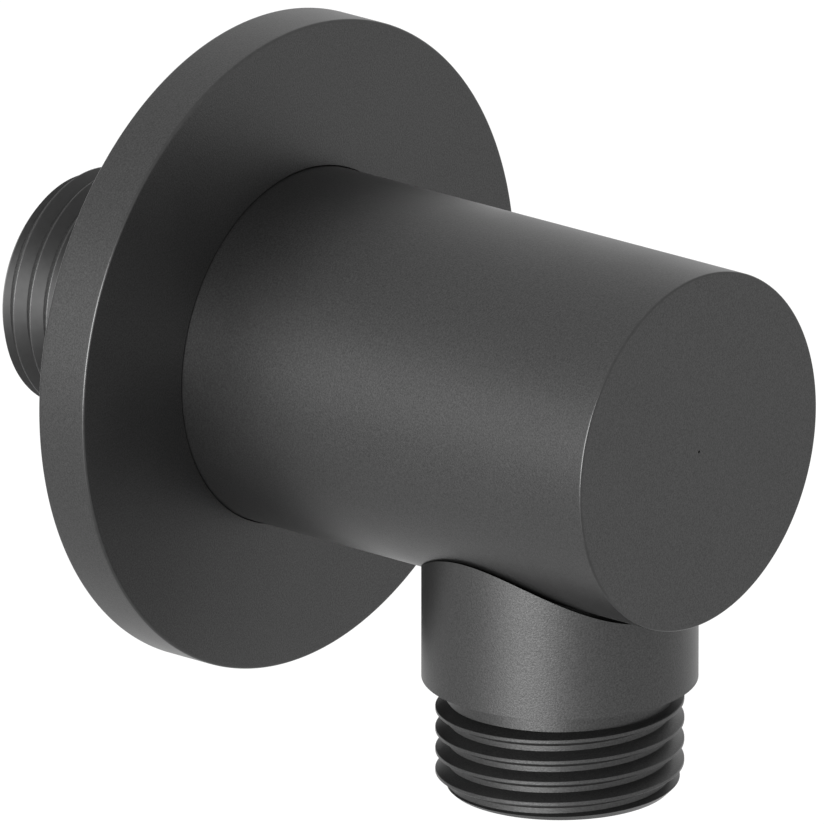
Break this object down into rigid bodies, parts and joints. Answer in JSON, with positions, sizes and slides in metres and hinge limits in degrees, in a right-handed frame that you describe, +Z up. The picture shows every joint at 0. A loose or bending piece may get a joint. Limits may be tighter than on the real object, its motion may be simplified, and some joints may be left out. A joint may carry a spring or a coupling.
{
  "type": "wall outlet elbow",
  "caption": "Round wall outlet elbow for a shower hose: cover disc, horizontal body, threaded inlet nipple behind, threaded outlet below with a check valve inside.",
  "frame": {"origin": "centre of the cover disc's back, in the plane of the wall, on the body's axis", "axes": "-Y out of the wall along the body, +Y into the wall along the inlet nipple, -Z down along the outlet, +Z up"},
  "size_m": [0.0554, 0.0681, 0.06],
  "materials": {
    "coated_brass": "matt graphite grey coating with a fine sparkling grain, over brass",
    "valve_plastic": "natural white moulded acetal",
    "seal_rubber": "matt black sealing rubber",
    "wall_foam": "dark grey closed-cell foam rubber",
    "spring_steel": "drawn stainless spring wire"
  },
  "bodies": {
    "elbow": {"elbow_body": "coated_brass", "outlet_nipple": "coated_brass", "outlet_seal_ring": "seal_rubber", "valve_seal_ring": "seal_rubber", "valve_seat_ring": "valve_plastic", "valve_housing": "valve_plastic", "valve_spring": "spring_steel"},
    "grip_ring": {"rosette_grip_ring": "seal_rubber"},
    "cover": {"rosette": "coated_brass", "wall_seal": "wall_foam"},
    "poppet": {"valve_poppet": "valve_plastic", "poppet_seal": "seal_rubber"}
  },
  "joints": [
    {"name": "cover_slide", "type": "slide", "parent": "elbow", "child": "grip_ring", "axis": [0, -1, 0], "range_m": [0, 0.0165]},
    {"name": "cover_turn", "type": "hinge", "parent": "grip_ring", "child": "cover", "pos_m": [0, 0, 0], "axis": [0, 1, 0], "continuous": true},
    {"name": "poppet_lift", "type": "slide", "parent": "elbow", "child": "poppet", "axis": [0, 0, -1], "range_m": [0, 0.0026], "stiffness_N_per_m": 120, "springref_m": -0.0025, "deforming": ["valve_spring"]}
  ]
}
